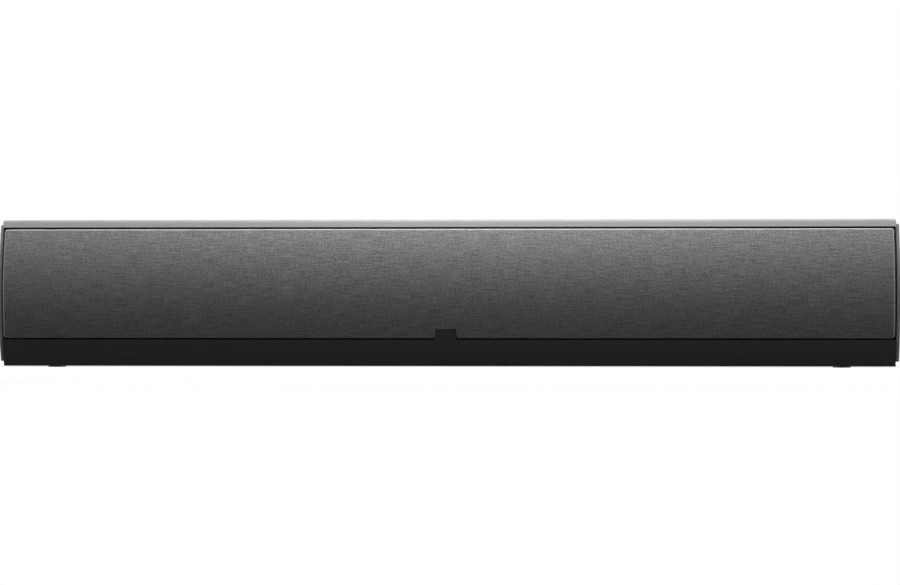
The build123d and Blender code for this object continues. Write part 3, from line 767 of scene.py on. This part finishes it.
@dataclass(frozen=True)
class FlexRing:
    """A ring round a driver's moving part, with a flat land at each edge."""

    node: str
    piston: str
    inner_land: float
    outer_land: float
    weld: float = 0.000001
    crease: float = math.radians(40)

    def copy_solid(self) -> bpy.types.Object:
        """Makes the ring anew from its solid, smooth but for its real edges.

        Returns:
            The ring.
        """
        mesh = bmesh.new()
        mesh.from_mesh(frame["nodes"][self.node].data)
        bmesh.ops.remove_doubles(mesh, verts=mesh.verts[:], dist=self.weld)
        for face in mesh.faces:
            face.material_index = 0
        for edge in mesh.edges:
            edge.smooth = edge.calc_face_angle(0.0) < self.crease
        return make_object(f"flexing_{self.node}", mesh)

    def build(self, wardrobe: Wardrobe) -> None:
        """Makes the ring anew in place of its solid, which it hides, and gives it its finish.

        Its points are laid out by radius and then put back where they were, so the ring keeps the solid's
        shape.

        Args:
            wardrobe: Where its finish comes from.
        """
        low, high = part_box(self.node)
        centre = (Vector(low) + Vector(high)) / 2
        ring = self.copy_solid()
        places = [vert.co.copy() for vert in ring.data.vertices]
        radii = [math.hypot(place.x - centre.x, place.z - centre.z) for place in places]
        for vert, radius in zip(ring.data.vertices, radii):
            vert.co = (radius, 0.0, 0.0)
        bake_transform(ring)
        for vert, place in zip(ring.data.vertices, places):
            vert.co = place
        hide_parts(self.node)
        wardrobe.dress_piece(ring, wardrobe.slots[self.node])


@dataclass
class Drivers(SubAssembly):
    """The woofers, the passive radiators and the tweeter behind the grille."""

    woofer_parts: tuple[str, ...] = (
        "basket", "cone", "dust_cap", "voice_coil", "top_plate", "magnet", "yoke")
    radiator_parts: tuple[str, ...] = ("frame", "diaphragm")
    tweeter_parts: tuple[str, ...] = ("faceplate", "dome", "coil", "top_plate", "magnet", "yoke")
    surround_lands: Span = (0.0038, 0.0038)
    spider_lands: Span = (0.0013, 0.0035)
    dome_lands: Span = (0.0, 0.0022)

    def __post_init__(self) -> None:
        """Works out the node names from the parts of each driver."""
        names = ["driver_screws"]
        for side in Side:
            names += [f"{side.value}_woofer_{part}" for part in self.woofer_parts]
            names += [f"{side.value}_radiator_{part}" for part in self.radiator_parts]
        names += [f"tweeter_{part}" for part in self.tweeter_parts]
        self.nodes = tuple(names)

    def build(self) -> None:
        """Makes the surrounds and spiders anew in place of their solids."""
        for side in Side:
            for kind, part, lands in (
                ("woofer", "surround", self.surround_lands),
                ("woofer", "spider", self.spider_lands),
                ("radiator", "surround", self.surround_lands),
            ):
                driver = f"{side.value}_{kind}"
                FlexRing(f"{driver}_{part}", f"{driver}_piston", *lands).build(self.wardrobe)
        FlexRing("tweeter_surround", "tweeter_piston", *self.dome_lands).build(self.wardrobe)


@dataclass
class Terminals(SubAssembly):
    """The cup with its two binding posts at the back, and the polarity signs moulded beside them."""

    nodes: tuple[str, ...] = (
        "terminal_cup", "terminal_screws", "red_post", "black_post", "red_washer", "black_washer",
        "red_knob", "black_knob", "post_nuts",
    )
    sign_rise: float = 0.0125
    sign_bar: float = 0.0013
    sign_arm: float = 0.0019
    sign_height: float = 0.0006
    sign_edge: float = 0.0002
    sign_edge_steps: int = 2
    sign_crease: float = math.radians(30)
    cup_floor_y: float = 0.039

    def mould_sign(self, name: str, post: str, arms: tuple[Point, ...]) -> None:
        """Raises a sign from the cup's floor above a post.

        Args:
            name: The piece's name.
            post: The node of the post below the sign.
            arms: The directions in which the sign's arms reach.
        """
        low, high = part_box(post)
        centre = Vector(((low[0] + high[0]) / 2, self.cup_floor_y, (low[2] + high[2]) / 2 + self.sign_rise))
        mesh = bmesh.new()
        bmesh.ops.create_cube(mesh, size=1.0)
        bmesh.ops.scale(mesh, verts=mesh.verts[:], vec=(self.sign_bar, 2 * self.sign_height, self.sign_bar))
        for arm in arms:
            mesh.normal_update()
            side = max(mesh.faces, key=lambda face: face.normal.dot(Vector(arm)))
            grown = bmesh.ops.extrude_discrete_faces(mesh, faces=[side])["faces"][0]
            bmesh.ops.translate(mesh, verts=grown.verts[:], vec=Vector(arm) * self.sign_arm)
        top = [
            edge for edge in mesh.edges
            if min(vert.co.y for vert in edge.verts) > 0 and not edge.is_boundary
            and edge.calc_face_angle(0.0) > self.sign_crease
        ]
        round_off(mesh, Rounding.EDGES, top, self.sign_edge, self.sign_edge_steps)
        bmesh.ops.translate(mesh, verts=mesh.verts[:], vec=centre)
        bmesh.ops.recalc_face_normals(mesh, faces=mesh.faces[:])
        sign = make_object(name, mesh, smooth=False)
        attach(sign, "cabinet")
        self.wardrobe.dress_piece(sign, Slot.BLACK_MOULDING)

    def build(self) -> None:
        """Moulds the plus and minus signs."""
        left, right, down, up = (-1.0, 0.0, 0.0), (1.0, 0.0, 0.0), (0.0, 0.0, -1.0), (0.0, 0.0, 1.0)
        self.mould_sign("plus_sign", "red_post", (left, right, down, up))
        self.mould_sign("minus_sign", "black_post", (left, right))


@dataclass
class Crossover(SubAssembly):
    """The crossover board with its components and the leads."""

    nodes: tuple[str, ...] = (
        "crossover_board", "crossover_inductors", "crossover_capacitors", "crossover_resistors",
        "speaker_leads",
    )


@dataclass
class Damping(SubAssembly):
    """The two wool blankets that lie against the back wall, with a hole round each wall insert."""

    cell: float = 0.009
    start_x: float = 0.085
    insert: str = "right_wall_insert"
    hole_radius: float = 0.0065
    loft: float = 0.0022
    lump: float = 0.035
    softening: int = 3
    softness: float = 0.35
    rounding_level: int = 1
    unmerged: float = -1.0

    def hole_place(self) -> Point:
        """Gives the place of the wall insert that the wool leaves free, from the record."""
        return next(mount["pos_m"] for mount in frame["record"]["mounts"] if mount["name"] == self.insert)

    def lay_wool(self, mesh: bmesh.types.BMesh, start: Point, end: Point) -> None:
        """Lays a flat sheet of cells in the blanket's outline and opens the insert's hole.

        Args:
            mesh: The mesh to lay it in.
            start: The blanket's low corner.
            end: Its high corner.
        """
        size = Vector(end) - Vector(start)
        middle = (Vector(start) + Vector(end)) / 2
        columns, rows = round(size.x / self.cell), round(size.z / self.cell)
        upright = Matrix.Rotation(math.pi / 2, 3, "X")
        bmesh.ops.create_grid(mesh, x_segments=columns, y_segments=rows, size=0.5)
        bmesh.ops.rotate(mesh, verts=mesh.verts[:], cent=(0.0, 0.0, 0.0), matrix=upright)
        bmesh.ops.scale(mesh, verts=mesh.verts[:], vec=(size.x, 1.0, size.z))
        bmesh.ops.translate(mesh, verts=mesh.verts[:], vec=(middle.x, end[1], middle.z))
        hole_x, _, hole_z = self.hole_place()
        centre = Vector((hole_x, end[1], hole_z))
        pierced = min(mesh.verts, key=lambda vert: (vert.co - centre).length)
        rim = {vert for face in pierced.link_faces for vert in face.verts} - {pierced}
        for vert in rim:
            vert.co = centre + (vert.co - centre).normalized() * self.hole_radius
        bmesh.ops.delete(mesh, geom=[pierced], context="VERTS")

    def fluff(self, mesh: bmesh.types.BMesh, wall_y: float) -> None:
        """Softens the edges and gives the free side its lumps.

        Args:
            mesh: The blanket with its thickness.
            wall_y: The depth of the wall behind it, which stays flat.
        """
        for _ in range(self.softening):
            bmesh.ops.smooth_vert(mesh, verts=mesh.verts[:], factor=self.softness, use_axis_x=True,
                                  use_axis_y=True, use_axis_z=True)
        for vert in mesh.verts:
            if wall_y - vert.co.y > self.loft:
                vert.co.y += self.loft * (1.0 + noise.noise(vert.co / self.lump))

    def build(self) -> None:
        """Makes the wool in place of its plain solids."""
        low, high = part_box("damping_blankets")
        mesh = bmesh.new()
        self.lay_wool(mesh, (self.start_x, low[1], low[2]), (high[0], high[1], high[2]))
        bmesh.ops.recalc_face_normals(mesh, faces=mesh.faces[:])
        bmesh.ops.solidify(mesh, geom=mesh.faces[:], thickness=high[1] - low[1])
        self.fluff(mesh, high[1])
        geometry = mesh.verts[:] + mesh.edges[:] + mesh.faces[:]
        bmesh.ops.mirror(mesh, geom=geometry, matrix=Matrix.Identity(4), merge_dist=self.unmerged, axis="X")
        bmesh.ops.recalc_face_normals(mesh, faces=mesh.faces[:])
        wool = make_object("wool_blankets", mesh)
        rounding = wool.modifiers.new("rounding", "SUBSURF")
        rounding.levels = rounding.render_levels = self.rounding_level
        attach(wool, "cabinet")
        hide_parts("damping_blankets")
        self.wardrobe.dress_piece(wool, Slot.DAMPING_WOOL)


@dataclass(frozen=True)
class Softbox:
    """A rectangular lamp aimed at a point."""

    name: str
    place: Point
    target: Point
    size: Span
    power: float

    def hang(self) -> None:
        """Puts the lamp into the scene."""
        lamp = bpy.data.lights.new(self.name, "AREA")
        lamp.shape = "RECTANGLE"
        lamp.size, lamp.size_y = self.size
        lamp.energy = self.power
        holder = bpy.data.objects.new(self.name, lamp)
        holder.location = self.place
        reach = Vector(self.target) - Vector(self.place)
        holder.rotation_euler = reach.to_track_quat("-Z", "Y").to_euler()
        bpy.context.scene.collection.objects.link(holder)


@dataclass
class Studio:
    """A pale floor, soft lamps, a white surround and the camera."""

    aim: Point = (0.00376, -0.049, 0.0759)
    camera_distance: float = 2.9
    camera_yaw: float = math.radians(2.98)
    camera_height: float = 0.059
    focal_pixels: float = 2857.0
    sensor: float = 36.0
    floor_size: float = 6.0
    floor_tone: float = 0.9
    floor_bounce: float = 0.04
    white_share: Span = (0.80, 1.0)
    white_reach: Span = (0.25, 0.9)
    white_stretch: Point = (0.5, 1.0, 1.0)
    ambient: float = 0.016
    lamps: tuple[Softbox, ...] = (
        Softbox("overhead_softbox", place=(0.042, -0.059, 0.688), target=(0.042, -0.05, 0.1),
                size=(0.71, 0.346), power=10.9),
        Softbox("front_softbox", place=(0.09, -1.079, 0.40), target=(0.09, -0.05, 0.08),
                size=(1.6, 0.35), power=2.1),
        Softbox("left_softbox", place=(-0.80, -0.06, 0.42), target=(-0.45, -0.05, 0.12),
                size=(0.25, 0.25), power=2.2),
        Softbox("right_softbox", place=(0.80, -0.06, 0.42), target=(0.45, -0.05, 0.12),
                size=(0.25, 0.25), power=2.2),
    )

    @staticmethod
    def seen(tree: Tree) -> Socket:
        """Tells rays that show the white surround from those that light the object.

        Args:
            tree: The material's or the world's tree.
        Returns:
            One for camera, mirror and glass rays.
        """
        path = tree.add("LightPath").outputs
        mirrored = tree.math("MAXIMUM", path["Is Glossy Ray"], path["Is Transmission Ray"])
        return tree.math("MAXIMUM", path["Is Camera Ray"], mirrored)

    def lay_floor(self) -> None:
        """Makes the floor, white to the eye and shaded by the object near it."""
        mesh = bmesh.new()
        bmesh.ops.create_grid(mesh, x_segments=2, y_segments=2, size=self.floor_size)
        floor = make_object("studio_floor", mesh, smooth=False)
        material = bpy.data.materials.new("studio_floor")
        material.use_nodes = True
        tree = Tree(material.node_tree)
        material.node_tree.nodes.remove(material.node_tree.nodes["Principled BSDF"])
        place = tree.stretch(tree.add("TexCoord").outputs["Object"], self.white_stretch)
        reach = tree.add("VectorMath", {0: place}, operation="LENGTH").outputs["Value"]
        share = tree.spread(reach, self.white_reach, self.white_share)
        bounce = tree.add("BsdfDiffuse", {"Color": opaque(grey(self.floor_bounce))})
        lit = tree.add("BsdfDiffuse", {"Color": opaque(grey(self.floor_tone))})
        white = tree.add("Emission")
        shown = tree.add("MixShader", {0: share, 1: lit.outputs[0], 2: white.outputs[0]})
        blend = tree.add("MixShader", {0: self.seen(tree), 1: bounce.outputs[0], 2: shown.outputs[0]})
        tree.feed(material.node_tree.nodes["Material Output"].inputs["Surface"], blend.outputs[0])
        floor.data.materials.append(material)

    def surround(self) -> None:
        """Makes the world white to the eye and faint as a light."""
        world = bpy.data.worlds.new("studio_world")
        world.use_nodes = True
        tree = Tree(world.node_tree)
        faint = world.node_tree.nodes["Background"]
        tree.feed(faint.inputs["Color"], opaque(grey(1.0)))
        tree.feed(faint.inputs["Strength"], self.ambient)
        white = tree.add("Background", {"Color": opaque(grey(1.0)), "Strength": 1.0})
        blend = tree.add("MixShader", {0: self.seen(tree), 1: faint.outputs[0], 2: white.outputs[0]})
        tree.feed(world.node_tree.nodes["World Output"].inputs["Surface"], blend.outputs[0])
        bpy.context.scene.world = world

    def hang_lamps(self) -> None:
        """Hangs the softboxes."""
        for lamp in self.lamps:
            lamp.hang()

    def place_camera(self) -> None:
        """Puts the camera a little to the right, below mid height, as the photograph has it."""
        lens = bpy.data.cameras.new("camera")
        lens.sensor_width = self.sensor
        lens.lens = self.sensor * self.focal_pixels / PHOTO_WIDTH
        camera = bpy.data.objects.new("camera", lens)
        aim = Vector(self.aim)
        reach = Vector((math.sin(self.camera_yaw), -math.cos(self.camera_yaw), 0.0)) * self.camera_distance
        camera.location = (reach.x, aim.y + reach.y, self.camera_height)
        camera.rotation_euler = (aim - camera.location).to_track_quat("-Z", "Y").to_euler()
        bpy.context.scene.collection.objects.link(camera)
        bpy.context.scene.camera = camera

    def build(self) -> None:
        """Sets up the whole studio."""
        self.lay_floor()
        self.surround()
        self.hang_lamps()
        self.place_camera()
        bpy.context.scene.view_settings.view_transform = "Standard"


def main() -> None:
    """Builds and dresses every sub-assembly, then the studio."""
    logging.basicConfig(level=logging.INFO, format="%(name)s: %(message)s")
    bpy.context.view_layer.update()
    wardrobe = Wardrobe()
    for kind in (Body, Grille, Drivers, Terminals, Crossover, Damping):
        group = kind(wardrobe)
        group.build()
        group.dress()
        log.info("finished %s with %d solids", kind.__name__, len(group.nodes))
    Studio().build()


if __name__ == "__main__":
    main()
